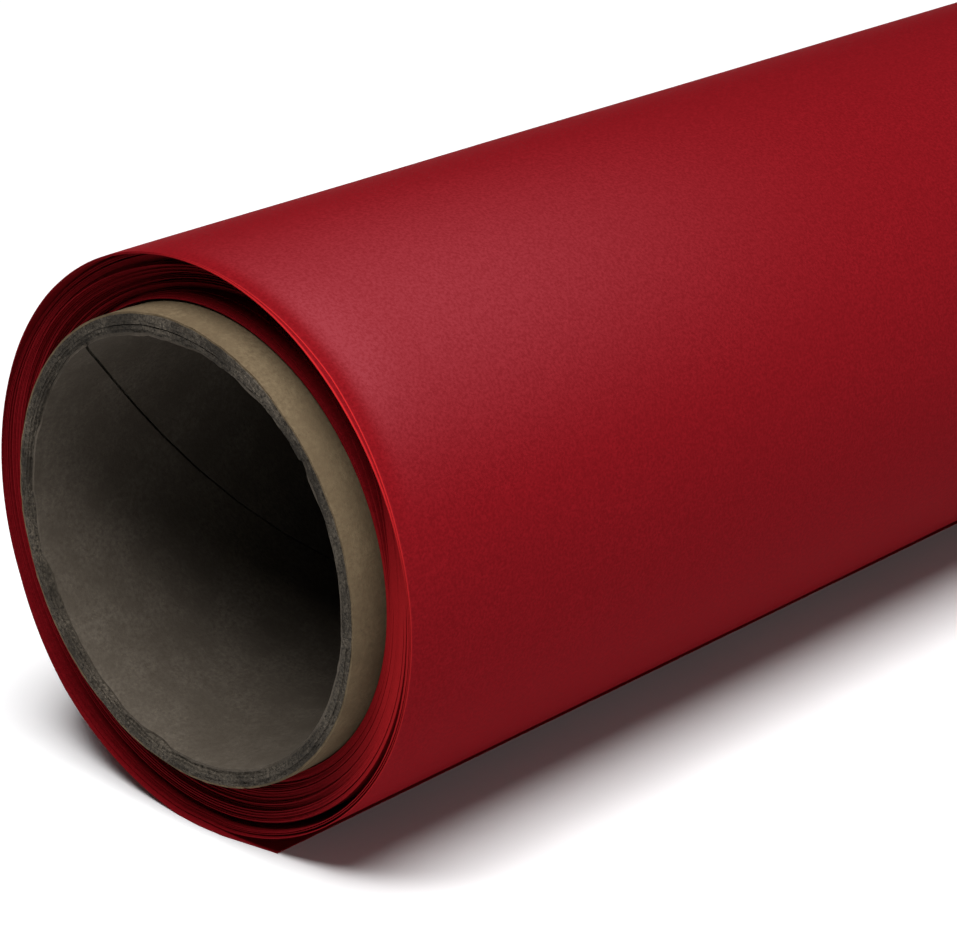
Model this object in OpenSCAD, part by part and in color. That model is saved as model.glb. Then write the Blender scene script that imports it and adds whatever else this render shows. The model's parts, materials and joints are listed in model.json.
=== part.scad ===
// Backdrop paper roll: a wide sheet of seamless paper wound on a spiral-wound paper core.
// The roll lies along X, with the core's axis at the origin and +Z up. It rests on its outermost
// turn, which comes down the back (+Y), passes flat under the roll and ends as a short free tail
// on the floor at the front (-Y). The turns have crept sideways a little, so the end faces are
// slightly dished, and the wound pack is cut into sleeves of turns that can slide over each other.

/* [Paper] */
// Width of the paper, along the roll
paper_width = 1350; // [300:10:1400]
// Diameter over the outermost turn
roll_d = 77.2; // [75:0.2:100]
// Thickness of the outermost sheet and of the free tail
sheet_t = 0.2; // [0.1:0.05:0.25]
// Thickness of the loose turns just under the outermost one, taken together
loose_turns_t = 0.8; // [0.4:0.1:1]
// How far the loose outer turns hang below the core's axis
sag = 0.5; // [0:0.1:0.6]
// How far the bottom of the roll is flattened by its own weight
flattening = 0.3; // [0.2:0.05:0.5]
// Distance from the middle of the roll to the free edge of the tail
tail_reach = 13; // [11.5:0.5:16]

/* [Sleeves of turns] */
// Number of sleeves that the tightly wound turns are cut into
sleeve_count = 8; // [2:1:8]
// Clearance between two sleeves that slide on each other
sleeve_gap = 0.3; // [0.2:0.05:0.3]
// How much further out the outermost turn ends than the innermost one
end_dish = 2.8; // [0:0.2:4]

/* [Core] */
// Diameter of the bore
core_bore_d = 57.15; // [56:0.05:58]
// Outside diameter of the core
core_od = 62; // [61:0.1:63]
// How far the core's end stands out past the innermost turn
core_overhang = 5.8; // [4:0.2:20]
// Thickness of the smooth liner inside the bore
liner_t = 0.35; // [0.2:0.05:0.5]
// Thickness of the kraft ply on the outside of the core
outer_ply_t = 0.275; // [0.2:0.025:0.4]
// Number of grey board plies between the liner and the kraft ply
body_ply_count = 5; // [3:1:7]

/* [Starting tape] */
// Number of tape tabs that hold the start of the paper on the core
tab_count = 3; // [2:1:5]
// Length of one tab along the roll
tab_length = 60; // [20:5:60]
// Angle that a tab covers round the core
tab_angle = 46; // [20:2:90]
// Thickness of the tape
tape_t = 0.08; // [0.04:0.02:0.1]

/* [Hidden] */
$fn = 180;
eps = 1;                                    // overcut on a removed body

core_length = paper_width + 2 * core_overhang;
bore_r = core_bore_d / 2;
core_r = core_od / 2;
body_ply_t = (core_r - bore_r - liner_t - outer_ply_t) / body_ply_count;

roll_r = roll_d / 2;
floor_z = -sag - roll_r + flattening;
loose_outer_r = roll_r - sheet_t;
loose_inner_r = loose_outer_r - loose_turns_t;

// The wound pack lies between the tape on the core and the loose turns, which touch it nowhere
pack_inner_r = core_r + tape_t;
pack_outer_r = loose_inner_r - sag - sleeve_gap;
sleeve_t = (pack_outer_r - pack_inner_r - (sleeve_count - 1) * sleeve_gap) / sleeve_count;

// Every layer, from the innermost sleeve to the outermost turn, ends a little further out at -X
layer_count = sleeve_count + 2;
end_step = end_dish / (layer_count - 1);

// The free tail starts where the outermost turn has risen off the floor by two sheets
tail_start = sqrt(pow(roll_r, 2) - pow(roll_r - flattening - 2 * sheet_t, 2));
tail_strip_count = 2;
hinge_gap = 0.3;
foot_reach = tail_start - hinge_gap;
tail_strip_w = (tail_reach - tail_start - (tail_strip_count - 1) * hinge_gap) / tail_strip_count;

paper_red = [0.62, 0.07, 0.11];
board_grey = [0.45, 0.43, 0.40];
liner_brown = [0.36, 0.33, 0.30];
kraft_tan = [0.58, 0.49, 0.36];
tape_cream = [0.85, 0.80, 0.66];

// Lays an outline drawn in the roll's cross-section (x is -Z, y is +Y) along the roll
module along_roll(start, length) {
    translate([start, 0, 0]) rotate([0, 90, 0]) linear_extrude(length) children();
}

// A tube round the core's axis
module tube(inner_r, outer_r, start, length) {
    translate([start, 0, 0]) rotate([0, 90, 0]) difference() {
        cylinder(r = outer_r, h = length);
        translate([0, 0, -eps]) cylinder(r = inner_r, h = length + 2 * eps);
    }
}

// Where a layer of paper starts along X, counting from the core outwards
function layer_start(layer) = -core_length / 2 + core_overhang - (layer - 1) * end_step;

// Cross-section of a loose layer: a circle that hangs low and is flat where it rests
module rested_disc(r, rest_z) {
    intersection() {
        translate([sag, 0]) circle(r = r);
        translate([-2 * roll_r, -2 * roll_r]) square([2 * roll_r - rest_z, 4 * roll_r]);
    }
}

module rested_layer(inner_r, outer_r) {
    outer_rest = floor_z + roll_r - outer_r;
    inner_rest = floor_z + roll_r - inner_r;
    difference() {
        rested_disc(outer_r, outer_rest);
        rested_disc(inner_r, inner_rest);
    }
}

module core_inner_liner() {
    color(liner_brown) tube(bore_r, bore_r + liner_t, -core_length / 2, core_length);
}

module core_body_ply(i) {
    inner_r = bore_r + liner_t + (i - 1) * body_ply_t;
    color(board_grey) tube(inner_r, inner_r + body_ply_t, -core_length / 2, core_length);
}

module core_outer_ply() {
    color(kraft_tan) tube(core_r - outer_ply_t, core_r, -core_length / 2, core_length);
}

// Tabs spread evenly along the core, over the edge where the winding starts
module start_tape_tabs() {
    pitch = paper_width / tab_count;
    color(tape_cream) for (i = [0:tab_count - 1])
        translate([(i - (tab_count - 1) / 2) * pitch - tab_length / 2, 0, 0]) rotate([0, 90, 0])
            rotate_extrude(angle = tab_angle) translate([core_r, 0]) square([tape_t, tab_length]);
}

// Sleeve 1 is taped to the core, and sleeve sleeve_count is the outermost of the wound pack
module wound_turns(i) {
    inner_r = pack_inner_r + (i - 1) * (sleeve_t + sleeve_gap);
    color(paper_red) tube(inner_r, inner_r + sleeve_t, layer_start(i), paper_width);
}

module loose_turns() {
    color(paper_red) along_roll(layer_start(sleeve_count + 1), paper_width)
        rested_layer(loose_inner_r, loose_outer_r);
}

// The last turn, with the foot of the tail that it runs out into under the roll
module outer_turn() {
    color(paper_red) along_roll(layer_start(layer_count), paper_width) union() {
        rested_layer(loose_outer_r, roll_r);
        translate([-floor_z - sheet_t, -foot_reach]) square([sheet_t, foot_reach]);
    }
}

// One strip of the free tail, flat on the floor in front of the foot
module tail_strip(i) {
    back_edge = tail_start + (i - 1) * (tail_strip_w + hinge_gap);
    color(paper_red) translate([layer_start(layer_count), -back_edge - tail_strip_w, floor_z])
        cube([paper_width, tail_strip_w, sheet_t]);
}

core_inner_liner();
for (i = [1:body_ply_count]) core_body_ply(i);
core_outer_ply();
start_tape_tabs();
for (i = [1:sleeve_count]) wound_turns(i);
loose_turns();
outer_turn();
for (i = [1:tail_strip_count]) tail_strip(i);
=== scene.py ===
"""Looks for the backdrop paper roll: real wound paper, a spiral-wound core, light and camera.

The roll lies along X, the end that the camera sees is at -X, -Y is the front and +Z is up.
Lengths are in metres. A "turn" counts once round the roll from the start of the paper: whole
turns are underneath, a quarter further is the front, a half is the top, three quarters the back.
"""

import json
import math

import bpy
import numpy as np
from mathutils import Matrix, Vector


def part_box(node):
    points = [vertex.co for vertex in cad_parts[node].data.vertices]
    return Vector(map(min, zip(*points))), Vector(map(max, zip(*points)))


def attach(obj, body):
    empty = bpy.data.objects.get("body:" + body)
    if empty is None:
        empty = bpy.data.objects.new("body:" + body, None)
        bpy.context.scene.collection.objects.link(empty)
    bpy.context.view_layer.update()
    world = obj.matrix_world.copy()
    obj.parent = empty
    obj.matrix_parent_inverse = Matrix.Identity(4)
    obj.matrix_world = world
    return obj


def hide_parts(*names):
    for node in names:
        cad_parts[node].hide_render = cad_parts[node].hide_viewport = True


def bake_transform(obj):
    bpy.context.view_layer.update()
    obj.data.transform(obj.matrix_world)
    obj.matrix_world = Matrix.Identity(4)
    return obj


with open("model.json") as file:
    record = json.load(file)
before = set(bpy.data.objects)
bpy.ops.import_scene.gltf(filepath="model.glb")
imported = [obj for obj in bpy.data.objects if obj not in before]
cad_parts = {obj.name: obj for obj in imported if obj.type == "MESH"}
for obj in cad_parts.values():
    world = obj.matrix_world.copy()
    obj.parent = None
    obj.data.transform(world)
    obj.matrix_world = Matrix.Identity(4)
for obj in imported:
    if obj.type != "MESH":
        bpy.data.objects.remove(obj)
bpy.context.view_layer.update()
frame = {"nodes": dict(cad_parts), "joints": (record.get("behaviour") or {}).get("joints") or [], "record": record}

MM = 0.001

# ---------------------------------------------------------------- sizes, taken from the frame


def outer_radius(node):
    """Half the height of a round node that is centred on the core's axis."""
    low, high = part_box(node)
    return (high[2] - low[2]) / 2


mounts = {mount["name"]: mount for mount in frame["record"]["mounts"]}
bodies = frame["record"]["behaviour"]["bodies"]
SLEEVES = sum(name.startswith("wound_turns_") for name in frame["nodes"])
BODY_PLIES = [f"core_body_ply_{i}" for i in range(1, 20) if f"core_body_ply_{i}" in frame["nodes"]]
PLIES = ["core_inner_liner"] + BODY_PLIES + ["core_outer_ply"]

CORE_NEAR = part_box("core_outer_ply")[0][0]
CORE_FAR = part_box("core_outer_ply")[1][0]
BORE_R = mounts["core_bore"]["dims"]["r_mm"] * MM
CORE_R = outer_radius("core_outer_ply")

roll_low, roll_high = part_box("outer_turn")
FLOOR_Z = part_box("tail_strip_2")[0][2]
ROLL_R = (roll_high[1] - roll_low[1]) / 2
SAG = ROLL_R - roll_high[2]
PAPER_WIDTH = roll_high[0] - roll_low[0]
TAIL_EDGE_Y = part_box("tail_strip_2")[0][1]
HINGE_Y = [j["pos_m"][1] for j in frame["joints"] if j["name"] in ("tail_lift", "tail_curl")]

# ---------------------------------------------------------------- the wound sheet

SHEET_T = 0.12 * MM
TURNS_PER_SLEEVE = 5
LINK_TURNS = 0.5                        # the last half turn of a sleeve runs on to the next one
PACK_TURNS = SLEEVES * TURNS_PER_SLEEVE
SLACK_TURNS = 5                         # the loose turns, with the outermost one
ALL_TURNS = PACK_TURNS + SLACK_TURNS
PACK_INNER_R = CORE_R + 0.15 * MM
PACK_OUTER_R = outer_radius(f"wound_turns_{SLEEVES}") - SHEET_T / 2
SLACK_INNER_R = PACK_OUTER_R + SAG + 0.2 * MM
SLACK_OUTER_R = ROLL_R - SHEET_T / 2
TAIL_TURNS = -TAIL_EDGE_Y / (2 * math.pi * SLACK_OUTER_R)
BEND_REACH = 1.4 * MM                   # how far past its hinge line the tail's paper bends

END_INSET_AT_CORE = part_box("wound_turns_1")[0][0] - CORE_NEAR
END_INSET_OUTSIDE = roll_low[0] - CORE_NEAR
# How far in from the core's end the last turn's side edge lies, as (turns from where it reaches
# the floor, inset in mm)
LAST_EDGE = ((-1.4, 2.9), (-1.1, 2.6), (-0.8, 2.8), (-0.7, 3.1), (-0.61, 3.8), (-0.52, 3.4),
             (-0.38, 2.6), (-0.28, 3.2), (-0.2, 2.95), (-0.12, 2.1), (-0.03, 1.9), (0.0, 1.6),
             (0.018, 1.9), (0.06, 3.9))
# Turns that have slipped back at the bottom front, and leave dark slits there
SLIPPED_TURNS = (7.3, 13.2, 21.3, 28.4, 35.4)

# Where things lie round the roll, in turns from underneath
LOWER_FRONT = 0.13
FRONT = 0.25
TOP_FRONT = 0.415

# How the near end has become uneven, in mm along the roll
HOLLOW_DEPTH = 5.0                      # of the pack's end at the top
FOLD_DEPTH = 1.3                        # of the folds in that hollow, on average
SLIP_DEPTH = 1.6
MOST_CREEP_OUT = 0.5

# How the slack turns lie, in mm across the roll
GATHERED = 0.5                          # in towards the pack, at the lower front
PULLED_IN = 0.45                        # the innermost slack turn against the pack, at the front
COCKLE_DEPTH = 0.03
CURL_FADE = 7                           # how far in from the side edge the curl dies out


def smooth(x):
    """Rises from 0 to 1 as x does, and levels off at both ends."""
    x = np.clip(x, 0, 1)
    return x * x * (3 - 2 * x)


def wander(x, seed):
    """Smooth random values between -1 and 1 that change once a unit of x."""
    knots = np.random.default_rng(seed).uniform(-1, 1, 512)
    cell = np.floor(x).astype(int)
    blend = smooth(x - cell)
    return knots[cell % 512] * (1 - blend) + knots[(cell + 1) % 512] * blend


def bump_at(angle, centre, width):
    """1 at an angle round the roll, falling to 0 over width on both sides, in turns."""
    apart = np.abs((angle - centre + 0.5) % 1 - 0.5)
    return smooth(1 - apart / width)


def web_path(turn):
    """The middle of the sheet in the roll's cross-section, as y and z."""
    angle = 2 * math.pi * turn
    tight = PACK_INNER_R + (PACK_OUTER_R - PACK_INNER_R) * np.minimum(turn / PACK_TURNS, 1)
    share = np.clip((turn - PACK_TURNS) / SLACK_TURNS, 0, 1)
    gathered = GATHERED * MM * bump_at(turn, LOWER_FRONT, 0.2) * np.sin(math.pi * share) ** 1.5
    pulled_in = PULLED_IN * MM * bump_at(turn, FRONT, 0.15) * (1 - share)
    slack = SLACK_INNER_R + (SLACK_OUTER_R - SLACK_INNER_R) * share - gathered - pulled_in
    loose = smooth((turn - PACK_TURNS + LINK_TURNS) / LINK_TURNS)
    radius = tight + (slack - tight) * loose
    y = -radius * np.sin(angle)
    z = -radius * np.cos(angle) - SAG * loose
    rest = FLOOR_Z + SHEET_T / 2 + (SLACK_OUTER_R - slack)
    z = np.where(turn > PACK_TURNS - LINK_TURNS / 2, np.maximum(z, rest), z)
    on_floor = turn > ALL_TURNS
    y = np.where(on_floor, -(turn - ALL_TURNS) * 2 * math.pi * SLACK_OUTER_R, y)
    z = np.where(on_floor, FLOOR_Z + SHEET_T / 2, z)
    return y, z


def web_normal(turn):
    """Unit vector across the sheet, out of the roll, as y and z."""
    step = 1e-4
    y0, z0 = web_path(turn - step)
    y1, z1 = web_path(turn + step)
    length = np.hypot(y1 - y0, z1 - z0)
    return -(z1 - z0) / length, (y1 - y0) / length


def near_edge(turn):
    """Where the sheet's near side edge was wound, along X, and how far in it has moved since."""
    share = turn / ALL_TURNS
    inset = END_INSET_AT_CORE + (END_INSET_OUTSIDE - END_INSET_AT_CORE) * share
    inside_pack = smooth((turn - 2.5) / 4) * smooth((PACK_TURNS + 2 - turn) / 3)
    hollow = HOLLOW_DEPTH * bump_at(turn, 0.44, 0.2) * inside_pack
    # The turns have crept most at the top and underneath, less at the back, least at the front
    uneven = (0.08 + 0.5 * bump_at(turn, 0.5, 0.25) + 0.25 * bump_at(turn, 0.85, 0.2)
              + 0.45 * bump_at(turn, 0.03, 0.14))
    creep = uneven * (1.1 * wander(turn / 3.3, 3) + 0.45 * wander(turn, 5))
    folds = FOLD_DEPTH * bump_at(turn, 0.54, 0.18) * (1 + wander(turn / 1.7, 31))
    slipped = sum(smooth(1 - np.abs(turn - middle) / 0.5) for middle in SLIPPED_TURNS)
    slip = SLIP_DEPTH * slipped * bump_at(turn, LOWER_FRONT, 0.14)
    last = np.interp(turn - ALL_TURNS, [p[0] for p in LAST_EDGE], [p[1] for p in LAST_EDGE]) * MM
    joined = smooth((turn - ALL_TURNS + 1.9) / 0.5)
    moved = (hollow + folds + np.maximum(creep, -MOST_CREEP_OUT) + slip) * MM * (1 - joined)
    return CORE_NEAR + inset * (1 - joined) + last * joined, moved


def side_rows(near_rows, middle_rows):
    """Distances along the sheet from its near side edge, close together near both edges."""
    near = np.array(near_rows) * MM
    middle = np.linspace(near[-1], PAPER_WIDTH - near[-1], middle_rows + 2)[1:-1]
    return np.concatenate([near, middle, PAPER_WIDTH - near[::-1]])


def edge_curl(turn, inset):
    """How far the slack turns' side edges lean in over the turns below, and flutter."""
    share = np.clip((turn - PACK_TURNS) / SLACK_TURNS, 0, 1)
    reach = (0.2 + 0.4 * share) * smooth((turn - PACK_TURNS) / 0.5) * MM
    lean = bump_at(turn, 0.37, 0.2) + 0.2 * bump_at(turn, 0.62, 0.08)
    flutter = 0.12 * (1 + wander(turn * 14, 7)) * bump_at(turn, 0.6, 0.3)
    fall = np.maximum(1 - inset / (CURL_FADE * MM), 0) ** 2
    return -reach * (lean + flutter) * fall


def cockle(turn, x):
    """Shallow hollows in the outermost turns, which lie free of the turn below."""
    share = smooth((turn - ALL_TURNS + 1.5) / 0.5)
    angle = 2 * math.pi * turn
    waves = (np.sin(x * 41 + 2 * np.sin(angle)) * np.sin(angle * 3 + x * 17)
             + 0.6 * np.sin(x * 97 + angle * 5 + 1.3))
    highest = 1.6
    return -COCKLE_DEPTH * MM * (waves + highest) * share


def make_mesh(name, points, quads, triangles=()):
    """A mesh object from an array of points and lists of corner numbers."""
    mesh = bpy.data.meshes.new(name)
    quads = np.asarray(quads, np.int32).reshape(-1, 4)
    triangles = np.asarray(triangles, np.int32).reshape(-1, 3)
    corners = np.concatenate([quads.ravel(), triangles.ravel()])
    sizes = np.concatenate([np.full(len(quads), 4), np.full(len(triangles), 3)])
    mesh.vertices.add(len(points))
    mesh.vertices.foreach_set("co", np.asarray(points, np.float32).ravel())
    mesh.loops.add(len(corners))
    mesh.loops.foreach_set("vertex_index", corners)
    mesh.polygons.add(len(sizes))
    mesh.polygons.foreach_set("loop_start", np.concatenate([[0], np.cumsum(sizes)[:-1]]))
    mesh.polygons.foreach_set("use_smooth", np.ones(len(sizes), bool))
    mesh.update(calc_edges=True)
    mesh.validate()
    mesh.set_sharp_from_angle(angle=math.radians(35))
    piece = bpy.data.objects.new(name, mesh)
    bpy.context.scene.collection.objects.link(piece)
    return piece


def shell(name, outer, inner, closed=False, near_lip=None, far_lip=None):
    """A closed skin between two grids of points [round, along, xyz], outer facing outwards.
    Each lip is one more row of points along the middle of an end wall, and closed makes a ring."""
    count, rows = outer.shape[:2]
    has_lips = near_lip is not None
    grids = [outer, inner[:, ::-1]]
    if has_lips:
        grids = [outer, far_lip[:, None], inner[:, ::-1], near_lip[:, None]]
    loop = np.concatenate(grids, axis=1)
    width = loop.shape[1]
    i = np.arange(count if closed else count - 1)
    j = np.arange(width)
    i0, j0 = np.meshgrid(i, j, indexing="ij")
    i1, j1 = (i0 + 1) % count, (j0 + 1) % width
    quads = np.stack([i0 * width + j0, i0 * width + j1, i1 * width + j1, i1 * width + j0], -1)
    quads = quads.reshape(-1, 4).tolist()
    triangles = []
    if not closed:
        for start, turned in ((0, False), ((count - 1) * width, True)):
            inner_start = start + width - (2 if has_lips else 1)
            for row in range(rows - 1):
                face = [start + row, inner_start - row, inner_start - row - 1, start + row + 1]
                quads.append(face[::-1] if turned else face)
            if has_lips:
                for face in ([start, start + width - 1, inner_start],
                             [start + rows - 1, inner_start - rows + 1, start + rows]):
                    triangles.append(face[::-1] if turned else face)
    return make_mesh(name, loop.reshape(-1, 3), quads, triangles)


PACK_ROWS = side_rows([0, 0.4, 1.5, 5, 20], 3)
SLACK_ROWS = side_rows([0, 0.25, 0.6, 1.2, 2, 3, 4.5, 7, 12, 25], 6)
OUTER_ROWS = side_rows([0, 0.2, 0.5, 0.9, 1.4, 2, 2.8, 4, 5.5, 7.5, 10, 13, 17, 22, 28, 35], 150)


def sheet_side(turns, rows, offset):
    """A grid of points on one side of the sheet, offset from its middle."""
    y, z = web_path(turns)
    normal_y, normal_z = web_normal(turns)
    neat, moved = near_edge(turns)
    along = rows[None, :] / PAPER_WIDTH
    far_creep = 0.15 * MM * wander(turns * 0.8, 13) * (turns < ALL_TURNS - 1)
    x = neat[:, None] + rows[None, :] + moved[:, None] * (1 - along) + far_creep[:, None] * along
    from_edge = np.minimum(rows, PAPER_WIDTH - rows)[None, :]
    turn = turns[:, None]
    held = smooth((ALL_TURNS - turn) / 0.06)
    out = offset + (edge_curl(turn, from_edge) + cockle(turn, x)) * held
    return np.stack([x, y[:, None] + normal_y[:, None] * out, z[:, None] + normal_z[:, None] * out],
                    -1)


def mark(piece, name, values):
    """Stores a number at every corner point, for the material."""
    layer = piece.data.attributes.new(name, "FLOAT", "POINT")
    layer.data.foreach_set("value", np.ascontiguousarray(values, np.float32).ravel())


def edge_highlight_marks(turn, inset):
    """Painted highlight along the cut edge, where light catches it: on slack turns at the top front, on all at the
    front.
    """
    slack = smooth((turn - PACK_TURNS - 2) / 1.5) * bump_at(turn, 0.38, 0.17)
    lit_front = 0.36 * bump_at(turn, 0.22, 0.16) * (1 - slack)
    return (slack + lit_front) * smooth(1 - inset / (0.22 * MM))


def sheen_marks(turn, inset):
    """Painted sheen on the outermost turn: a paler pink band at the top front, near both ends, and a brighter
    painted highlight spot close to the edges, standing in for the highlight there.
    """
    # Painted sheen: a broad paler band at the top front fading along the roll, and a brighter painted highlight
    # spot near each edge.
    sheen_share = 0.8 * bump_at(turn, TOP_FRONT, 0.12) * smooth(1 - (inset - 5 * MM) / (120 * MM)) ** 1.5
    sheen_spot = 0.4 * bump_at(turn, 0.40, 0.07) * smooth(1 - (inset - 3 * MM) / (10 * MM))
    clear_of_edge = smooth((inset - 0.8 * MM) / (3 * MM)) * (inset > 0)
    return (sheen_share + sheen_spot) * clear_of_edge * (turn > ALL_TURNS - 1)


def paper_piece(name, first, last, rows, degrees=3):
    """The stretch of the sheet between two turns, with points every so many degrees round."""
    count = max(2, round((last - first) * 360 / degrees) + 1)
    turns = np.linspace(first, last, count)
    piece = shell(name, sheet_side(turns, rows, SHEET_T / 2), sheet_side(turns, rows, -SHEET_T / 2))
    inset = np.minimum(rows, PAPER_WIDTH - rows)
    inset = np.broadcast_to(np.concatenate([inset, inset])[None, :], (count, 2 * len(rows)))
    turn = np.broadcast_to(turns[:, None], inset.shape)
    # Painted highlight on the cut edges, stored for the material.
    mark(piece, "painted_edge_highlight", edge_highlight_marks(turn, inset))
    # Painted sheen on the outermost turn, stored for the material.
    mark(piece, "painted_sheen", sheen_marks(turn, inset))
    return piece


def turn_at_floor(y):
    """The turn at which the tail's foot or its free part reaches y."""
    return ALL_TURNS - y / (2 * math.pi * SLACK_OUTER_R)


def body_of(node):
    """The body that a node of the part moves with."""
    return next(body for body, nodes in bodies.items() if node in nodes)


def wound_paper():
    """Every stretch of the sheet, each on its body, bent where it runs on to the next one."""
    pieces = []
    for k in range(1, SLEEVES + 1):
        start = (k - 1) * TURNS_PER_SLEEVE
        node = f"wound_turns_{k}"
        own_body = body_of(node)
        sleeve = paper_piece(f"paper_turns_{k}", start, start + TURNS_PER_SLEEVE - LINK_TURNS,
                             PACK_ROWS)
        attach(sleeve, own_body)
        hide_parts(node)
        link = paper_piece(f"paper_link_{k}", start + TURNS_PER_SLEEVE - LINK_TURNS,
                           start + TURNS_PER_SLEEVE, PACK_ROWS)
        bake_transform(link)
        pieces += [sleeve, link]
    last_start = ALL_TURNS - 1.25
    slack = paper_piece("paper_loose_turns", PACK_TURNS, last_start, SLACK_ROWS)
    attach(slack, body_of("loose_turns"))
    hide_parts("loose_turns")
    foot_y = HINGE_Y[0] + BEND_REACH
    middle_y = (HINGE_Y[0] + HINGE_Y[1]) / 2
    edge_y = HINGE_Y[1] - BEND_REACH
    last = paper_piece("paper_outer_turn", last_start, turn_at_floor(foot_y), OUTER_ROWS, 2)
    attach(last, body_of("outer_turn"))
    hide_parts("outer_turn")
    bend = paper_piece("paper_tail_bend", turn_at_floor(foot_y), turn_at_floor(middle_y),
                       OUTER_ROWS, 0.5)
    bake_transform(bend)
    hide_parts("tail_strip_1")
    curl = paper_piece("paper_tail_curl", turn_at_floor(middle_y), turn_at_floor(edge_y),
                       OUTER_ROWS, 0.5)
    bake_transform(curl)
    free = paper_piece("paper_tail_edge", turn_at_floor(edge_y), ALL_TURNS + TAIL_TURNS,
                       OUTER_ROWS, 0.5)
    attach(free, "tail_edge")
    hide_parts("tail_strip_2")
    return pieces + [slack, last, bend, curl, free]


# ---------------------------------------------------------------- the core

SEAM_TURNS_PER_M = -1 / 0.158           # the plies are wound at about 49 degrees to the axis
SEAM_GAP = 0.5 * MM
# Where the seams start at the near end, and the saw cut's worst places, in degrees from the back
# towards the top
LINER_SEAM_START = 55
KRAFT_SEAM_START = 250
CRUMBLED_AT = 225
NICK_AT = 141.5
LEANING_AT = 92
TORN = (0.5, 0.3, 0.14, 0.05, 0.03, 0.05, 0.1)      # mm back from the neat cut, bore outwards


def core_rows(middle_rows):
    """Distances along the core from its near end, close together near both ends."""
    near = np.array([0, 0.25, 0.6, 1.2, 2.2, 4, 7]) * MM
    length = CORE_FAR - CORE_NEAR
    middle = np.linspace(near[-1], length - near[-1], middle_rows + 2)[1:-1]
    return np.concatenate([near, middle, length - near[::-1]])


def sawn(degrees, ply):
    """How far a point of the sawn end face is broken back, always inwards."""
    seed = 20 + 10 * ply
    torn = TORN[min(ply, len(TORN) - 1)]
    fine = 0.05 * (wander(degrees * 1.2 + 400, seed) + 1)
    coarse = 0.06 * (wander(degrees * 0.4, seed + 1) + 1)
    chipped = np.maximum(wander(degrees * 0.11 + 40, seed + 2), 0) * 1.2 * torn
    crumbled = (0.35 if ply > 3 else 0.12) * smooth(1 - np.abs(degrees % 360 - CRUMBLED_AT) / 60)
    nick = 0.9 * smooth(1 - np.abs(degrees % 360 - NICK_AT) / 1.8) if ply < 4 else 0
    return (torn + fine + coarse + chipped + crumbled + nick) * MM


def lean_in(degrees, inset, boundary):
    """At the top the plies lean in over the bore, and the inner three have split from the rest.
    Boundaries count from the bore outwards, 3 is the inner lip of the split, 3.5 its outer lip."""
    counts = (0, 1, 2, 3, 3.5, 4, 5, 6)
    lean = np.interp(boundary, counts, (1.0, 0.85, 0.7, 0.52, 0.32, 0.2, 0.08, 0)) * MM
    place = smooth(1 - np.abs(degrees % 360 - LEANING_AT) / 46)
    ragged = 1 + 0.12 * wander(degrees * 0.2, 9) + 0.08 * wander(degrees * 0.9, 11)
    return -lean * place * ragged * np.exp(-inset / (5 * MM))


def ply_piece(name, ply, inner_r, outer_r, seam_start=None):
    """One ply of the core. With a seam it is a strip wound in a helix, with its edges apart."""
    seam = seam_start is not None
    rows = core_rows(250 if seam else 8)
    if seam:
        gap = SEAM_GAP / inner_r * 180 / math.pi
        across = np.concatenate([[0, 0.4, 1.2], np.linspace(3, 357 - gap, 148),
                                 [358.8 - gap, 359.6 - gap, 360 - gap]]) + gap / 2 + seam_start
    else:
        across = np.arange(0, 360, 0.5)
    twist = SEAM_TURNS_PER_M * 360 * rows if seam else 0 * rows
    degrees = across[:, None] + twist[None, :]
    from_end = np.minimum(rows, rows[-1] - rows)[None, :]
    inwards = np.where(rows < rows[-1] / 2, 1.0, -1.0)[None, :]

    def surface(radius, boundary):
        broken = sawn(degrees, ply) * np.exp(-from_end / (1.2 * MM))
        x = CORE_NEAR + rows[None, :] + inwards * broken
        r = radius + lean_in(degrees, from_end, boundary)
        angle = np.radians(degrees)
        return np.stack([x, r * np.cos(angle), r * np.sin(angle)], -1)

    outer = surface(outer_r, ply + 1)
    inner = surface(inner_r, 3.5 if ply == 3 else ply)

    def lip(row, outwards):
        """Points along the middle of the sawn face, a little proud of it or behind it."""
        middle = (outer[:, row] + inner[:, row]) / 2
        middle[:, 0] += outwards * 0.05 * MM * (wander(degrees[:, row] * 0.9, 25 + ply) - 0.2)
        return middle

    ring = shell(name, outer[::-1], inner[::-1], closed=not seam, near_lip=lip(0, -1)[::-1],
                 far_lip=lip(-1, 1)[::-1])
    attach(ring, "core")
    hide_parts(PLIES[ply])
    return ring


def core_plies():
    """The liner with its spiral seam, the board plies and the kraft ply with its own seam."""
    radii = [BORE_R] + [outer_radius(node) for node in PLIES]
    made = []
    for ply, node in enumerate(PLIES):
        start = {0: LINER_SEAM_START, len(PLIES) - 1: KRAFT_SEAM_START}.get(ply)
        made.append(ply_piece(node.replace("core_", "board_", 1), ply, radii[ply], radii[ply + 1],
                              start))
    return made


# ---------------------------------------------------------------- materials


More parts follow.
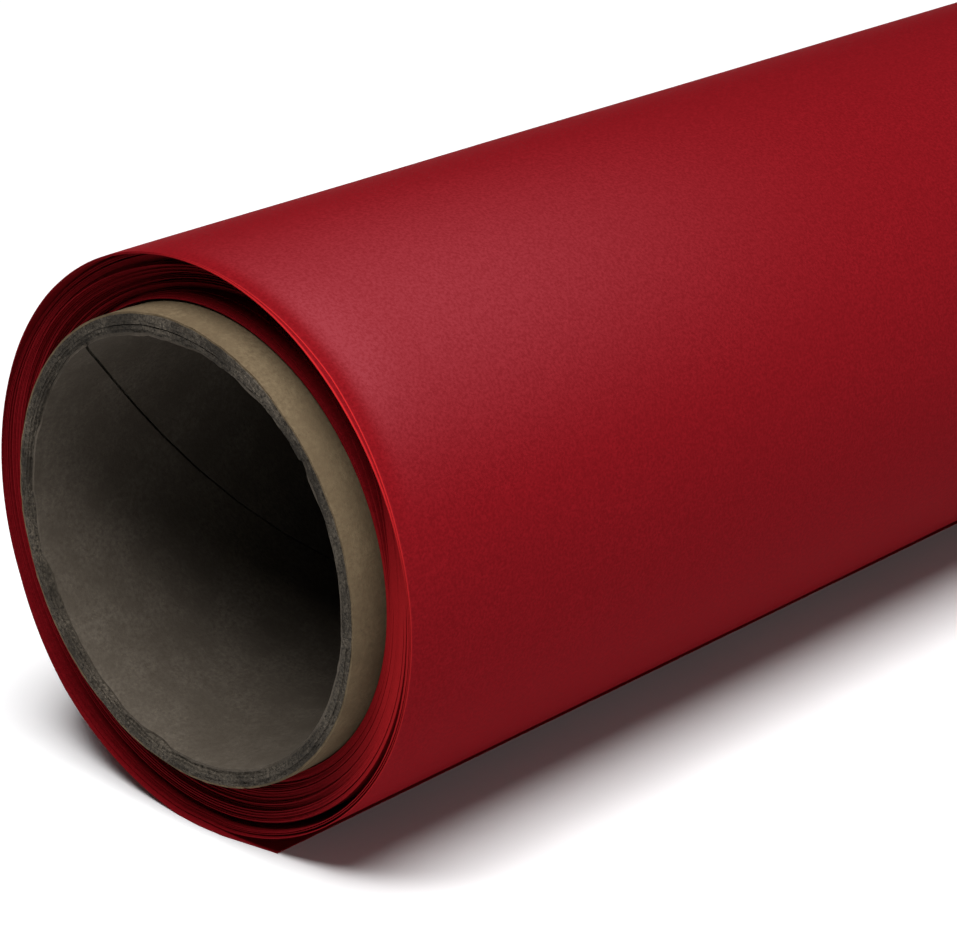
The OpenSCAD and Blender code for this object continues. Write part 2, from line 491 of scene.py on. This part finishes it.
class Nodes:
    """A short way to write a material's nodes, with noises placed by the piece's coordinates."""

    def __init__(self, name):
        self.material = bpy.data.materials.new(name)
        self.material.use_nodes = True
        self.tree = self.material.node_tree
        self.shader = self.tree.nodes["Principled BSDF"]
        self.place = self.add("ShaderNodeTexCoord").outputs["Object"]

    def add(self, kind, inputs=None, **settings):
        node = self.tree.nodes.new(kind)
        for key, value in settings.items():
            setattr(node, key, value)
        for key, value in (inputs or {}).items():
            if isinstance(value, bpy.types.NodeSocket):
                self.tree.links.new(value, node.inputs[key])
            else:
                node.inputs[key].default_value = value
        return node

    def stretched(self, scale):
        return self.add("ShaderNodeMapping", {"Vector": self.place, "Scale": scale}).outputs[0]

    def noise(self, scale, detail=3.0, rough=0.5, place=None):
        return self.add("ShaderNodeTexNoise", {"Vector": place or self.place, "Scale": scale,
                                               "Detail": detail, "Roughness": rough}).outputs["Fac"]

    def ramp(self, value, low, high, to_low=0.0, to_high=1.0):
        return self.add("ShaderNodeMapRange", {"Value": value, "From Min": low, "From Max": high,
                                               "To Min": to_low, "To Max": to_high}).outputs[0]

    def mix(self, share, a, b, blend="MIX"):
        node = self.add("ShaderNodeMix", data_type="RGBA", blend_type=blend)
        for socket, value in ((node.inputs[0], share), (node.inputs[6], a), (node.inputs[7], b)):
            if isinstance(value, bpy.types.NodeSocket):
                self.tree.links.new(value, socket)
            else:
                socket.default_value = value if isinstance(value, float) else (*value, 1)
        return node.outputs[2]

    def attribute(self, name):
        return self.add("ShaderNodeAttribute", attribute_name=name).outputs["Fac"]

    def product(self, a, b):
        return self.add("ShaderNodeMath", {0: a, 1: b}, operation="MULTIPLY").outputs[0]

    def bump(self, height, distance, strength=1.0, before=None):
        inputs = {"Height": height, "Distance": distance, "Strength": strength}
        if before is not None:
            inputs["Normal"] = before
        return self.add("ShaderNodeBump", inputs).outputs["Normal"]

    def finish(self, colour, roughness, normal, **plain):
        links = self.tree.links
        links.new(colour, self.shader.inputs["Base Color"])
        links.new(roughness, self.shader.inputs["Roughness"])
        links.new(normal, self.shader.inputs["Normal"])
        for key, value in plain.items():
            self.shader.inputs[key.replace("_", " ")].default_value = value
        return self.material


def red_paper():
    """Thick uncoated paper: even red, with a fine felted grain, plus a painted sheen and painted highlights on cut
    edges where marked. Noise scales are per metre.
    """
    n = Nodes("red_paper")
    felt = n.noise(2600, 4, 0.6)
    clumps = n.noise(900, 3, 0.5)
    cloud = n.noise(45, 3, 0.5)
    colour = n.mix(n.ramp(felt, 0.38, 0.62), (0.110, 0.0034, 0.0053), (0.153, 0.0049, 0.0077))
    colour = n.mix(n.ramp(clumps, 0.35, 0.7, 0.0, 0.4), colour, (0.117, 0.0036, 0.0056))
    colour = n.mix(n.ramp(cloud, 0.35, 0.7, 0.0, 0.25), colour, (0.123, 0.0038, 0.0059))
    # Painted sheen: paler pink over the marked band at the top front, broken up by the felt grain.
    sheen_share = n.product(n.attribute("painted_sheen"), n.ramp(felt, 0.38, 0.62, 0.6, 1.05))
    colour = n.mix(sheen_share, colour, (0.182, 0.0225, 0.0290))
    # Painted highlight: the marked cut edges turn bright orange-red.
    colour = n.mix(n.attribute("painted_edge_highlight"), colour, (0.420, 0.0160, 0.0170))
    roughness = n.ramp(felt, 0.3, 0.7, 0.48, 0.58)
    normal = n.bump(felt, 0.03 * MM, 0.9)
    normal = n.bump(clumps, 0.03 * MM, 0.4, normal)
    return n.finish(colour, roughness, normal, Specular_IOR_Level=0.003)


def board(name, dark, light, fleck, relief, grain):
    """Recycled board or kraft: felted fibres, flecks and soft clouds. relief is in mm."""
    n = Nodes(name)
    fibres = n.noise(grain, 4, 0.65)
    flecks = n.noise(3600, 2, 0.7)
    clouds = n.noise(130, 5, 0.62)
    colour = n.mix(n.ramp(fibres, 0.32, 0.68), dark, light)
    colour = n.mix(n.ramp(flecks, 0.6, 0.7, 0.0, 0.7), colour, fleck)
    colour = n.mix(n.ramp(clouds, 0.42, 0.62, 0.0, 0.7), colour, dark)
    roughness = n.ramp(fibres, 0.3, 0.7, 0.72, 0.9)
    normal = n.bump(fibres, relief * MM, 1.0)
    normal = n.bump(flecks, relief / 2 * MM, 1.0, normal)
    return n.finish(colour, roughness, normal, Specular_IOR_Level=0.1)


def paper_tape():
    """Creped masking paper."""
    n = Nodes("paper_tape")
    crepe = n.noise(900, 3, 0.6, n.stretched((0.4, 2.0, 2.0)))
    colour = n.mix(n.ramp(crepe, 0.3, 0.7), (0.62, 0.52, 0.34), (0.74, 0.65, 0.46))
    return n.finish(colour, n.ramp(crepe, 0.3, 0.7, 0.45, 0.6), n.bump(crepe, 0.05 * MM, 0.6))


def pale_floor():
    """A matt pale sweep, which the light turns white."""
    n = Nodes("pale_floor")
    grain = n.noise(40, 2)
    colour = n.mix(n.ramp(grain, 0.3, 0.7), (0.67, 0.67, 0.675), (0.69, 0.69, 0.695))
    return n.finish(colour, n.ramp(grain, 0.3, 0.7, 0.8, 0.9), n.bump(grain, 0.01 * MM, 0.1),
                    Specular_IOR_Level=0.1)


# ---------------------------------------------------------------- camera, light and floor

LENS = 118.82                           # mm, on a sensor 36 mm wide
CAMERA_HEADING = 43.528                 # degrees from +X towards +Y
CAMERA_PITCH = 22.117                   # degrees down
CAMERA_PLACE = (CORE_NEAR - 0.2350, -0.2749, 0.1580)
FLOOR_REACH = 6.0                       # from the middle of the roll, each way
FLOOR_LINES = 12                        # of points across the floor, each way


def aim(thing, target):
    """Turns a camera or a light towards a point."""
    direction = Vector(target) - thing.location
    thing.rotation_euler = direction.to_track_quat("-Z", "Y").to_euler()


def camera():
    """The view of the near end, from the front and above, with a long lens."""
    data = bpy.data.cameras.new("camera")
    data.sensor_fit = "HORIZONTAL"
    data.sensor_width = 36
    data.lens = LENS
    data.clip_start = 0.01
    data.clip_end = 50
    thing = bpy.data.objects.new("camera", data)
    bpy.context.scene.collection.objects.link(thing)
    heading, pitch = math.radians(CAMERA_HEADING), math.radians(CAMERA_PITCH)
    thing.location = CAMERA_PLACE
    toward = (math.cos(heading) * math.cos(pitch), math.sin(heading) * math.cos(pitch),
              -math.sin(pitch))
    aim(thing, thing.location + Vector(toward))
    bpy.context.scene.camera = thing


def light(name, kind, from_end, **settings):
    """A light at a place given from the middle of the near end, and aimed at it."""
    data = bpy.data.lights.new(name, kind)
    for key, value in settings.items():
        setattr(data, key, value)
    thing = bpy.data.objects.new(name, data)
    bpy.context.scene.collection.objects.link(thing)
    end = Vector((CORE_NEAR, 0, 0))
    thing.location = end + Vector(from_end)
    aim(thing, end)


def studio():
    """A broad even light from high above, a small softbox close to the near end, a low fill."""
    light("ceiling", "SUN", (-0.6, -0.8, 3.7), energy=5.0, angle=math.radians(39))
    light("near_softbox", "AREA", (-0.15, -0.03, 0.30), shape="RECTANGLE", size=0.10, size_y=0.10,
          energy=0.51)
    light("front_fill", "AREA", (0.3, -3.0, 0.35), shape="RECTANGLE", size=2.4, size_y=0.5,
          energy=36)
    world = bpy.data.worlds.new("studio")
    world.use_nodes = True
    world.node_tree.nodes["Background"].inputs["Color"].default_value = (1, 1, 1, 1)
    world.node_tree.nodes["Background"].inputs["Strength"].default_value = 0.06
    bpy.context.scene.world = world
    bpy.context.scene.view_settings.view_transform = "Standard"


def floor():
    """A wide flat sweep under the roll."""
    line = np.linspace(-FLOOR_REACH, FLOOR_REACH, FLOOR_LINES)
    x, y = np.meshgrid(line, line, indexing="ij")
    points = np.stack([x, y, np.full_like(x, FLOOR_Z - 0.02 * MM)], -1).reshape(-1, 3)
    cells = np.arange(FLOOR_LINES - 1)
    i, j = np.meshgrid(cells, cells, indexing="ij")
    corner = i * FLOOR_LINES + j
    quads = np.stack([corner, corner + FLOOR_LINES, corner + FLOOR_LINES + 1, corner + 1], -1)
    sweep = make_mesh("floor", points, quads)
    sweep.data.materials.append(pale_floor())


# ---------------------------------------------------------------- putting it together

camera()
floor()
studio()

paper = red_paper()
for piece in wound_paper():
    piece.data.materials.append(paper)

core_looks = {
    "core_liner": board("core_liner", dark=(0.051, 0.041, 0.031), light=(0.087, 0.073, 0.058),
                        fleck=(0.100, 0.082, 0.058), relief=0.08, grain=1700),
    "core_board": board("core_board", dark=(0.010, 0.008, 0.006), light=(0.098, 0.082, 0.063),
                        fleck=(0.155, 0.130, 0.099), relief=0.22, grain=2600),
    "core_kraft": board("core_kraft", dark=(0.078, 0.055, 0.031), light=(0.119, 0.088, 0.051),
                        fleck=(0.061, 0.042, 0.024), relief=0.08, grain=1700),
}
for piece in core_plies():
    slot = "core_board"
    if "liner" in piece.name:
        slot = "core_liner"
    elif "outer" in piece.name:
        slot = "core_kraft"
    piece.data.materials.append(core_looks[slot])

tape = frame["nodes"]["start_tape_tabs"]
tape.data.materials.clear()
tape.data.materials.append(paper_tape())
